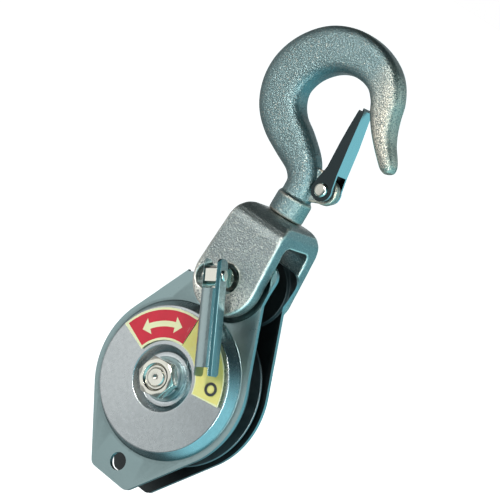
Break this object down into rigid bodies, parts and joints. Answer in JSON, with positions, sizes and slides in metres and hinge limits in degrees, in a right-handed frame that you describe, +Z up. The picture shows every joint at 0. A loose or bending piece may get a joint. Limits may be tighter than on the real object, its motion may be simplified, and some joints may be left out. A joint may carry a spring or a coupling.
{
  "type": "snatch block with swivel safety hook",
  "caption": "Single-sheave steel snatch block: swivel safety hook with latch, forked yoke, side plate that swings open, and drop-lever lock pin.",
  "frame": {"origin": "bearing point inside the hook, which the block hangs from", "axes": "+Z up along the block from the tail to the hook; +Y from the opening side plate, with the nut and label, to the fixed side plate; +X to the side of the hook tip"},
  "size_m": [0.1149, 0.0746, 0.305],
  "materials": {
    "forged": "grainy zinc-plated forging",
    "plate": "smooth plated sheet steel",
    "polished": "bright plated steel",
    "spring": "plain bright steel",
    "red": "printed label, red",
    "yellow": "printed label, pale yellow",
    "black": "printed label, black"
  },
  "bodies": {
    "hook": {"hook": "forged", "hook_nut": "polished", "hook_nut_pin": "spring", "latch_rivet": "polished"},
    "latch": {"safety_latch": "polished", "latch_spring": "spring"},
    "yoke": {"yoke": "forged", "swivel_washer": "spring"},
    "lock_pin": {"lock_pin": "polished", "lock_pin_clip": "spring", "lever_hinge_pin": "polished"},
    "lever": {"lock_lever": "polished"},
    "frame": {"rear_side_plate": "plate", "axle_bolt": "polished", "bolt_washer": "plate", "axle_nut": "polished", "nut_washer": "plate", "spring_washer": "spring", "axle_sleeve": "spring", "spacer_front": "spring", "spacer_rear": "spring", "bearing_inner_ring": "polished"},
    "swing_plate": {"front_side_plate": "plate", "label_red_panel": "red", "label_yellow_panel": "yellow", "label_ring_mark": "black"},
    "sheave": {"sheave": "plate", "bearing_outer_ring": "polished", "bearing_shield_front": "plate", "bearing_shield_rear": "plate", "retaining_ring_front": "spring", "retaining_ring_rear": "spring"},
    "ball_cage": {"bearing_cage": "spring", "bearing_ball_1": "polished", "bearing_ball_2": "polished", "bearing_ball_3": "polished", "bearing_ball_4": "polished", "bearing_ball_5": "polished", "bearing_ball_6": "polished", "bearing_ball_7": "polished", "bearing_ball_8": "polished", "bearing_ball_9": "polished"}
  },
  "joints": [
    {"name": "hook_swivel", "type": "hinge", "parent": "hook", "child": "yoke", "pos_m": [0.0128, 0, -0.1385], "axis": [-0.0349, 0, 0.9994], "continuous": true},
    {"name": "latch_hinge", "type": "hinge", "parent": "hook", "child": "latch", "pos_m": [0.02574, 0, -0.065], "axis": [0, -1, 0], "range_deg": [0, 26], "stiffness_Nm_per_rad": 0.06, "springref_deg": -28.65},
    {"name": "yoke_pivot", "type": "hinge", "parent": "yoke", "child": "frame", "pos_m": [0.0128, 0, -0.1385], "axis": [0, 1, 0], "range_deg": [-14, 12]},
    {"name": "lock_pin_turn", "type": "hinge", "parent": "yoke", "child": "lock_pin", "pos_m": [0.0128, 0, -0.1385], "axis": [0, 1, 0], "range_deg": [-60, 90]},
    {"name": "lever_fold", "type": "hinge", "parent": "lock_pin", "child": "lever", "pos_m": [0.0128, -0.037, -0.1385], "axis": [-0.8572, 0, -0.515], "range_deg": [0, 90]},
    {"name": "plate_swing", "type": "hinge", "parent": "frame", "child": "swing_plate", "pos_m": [0.0128, 0, -0.209], "axis": [0, 1, 0], "range_deg": [0, 120]},
    {"name": "sheave_spin", "type": "hinge", "parent": "frame", "child": "sheave", "pos_m": [0.0128, 0, -0.209], "axis": [0, 1, 0], "continuous": true},
    {"name": "ball_cage_spin", "type": "hinge", "parent": "frame", "child": "ball_cage", "pos_m": [0.0128, 0, -0.209], "axis": [0, 1, 0], "continuous": true}
  ],
  "couplings": [
    {"joint": "ball_cage_spin", "follows": "sheave_spin", "ratio": 0.6}
  ]
}
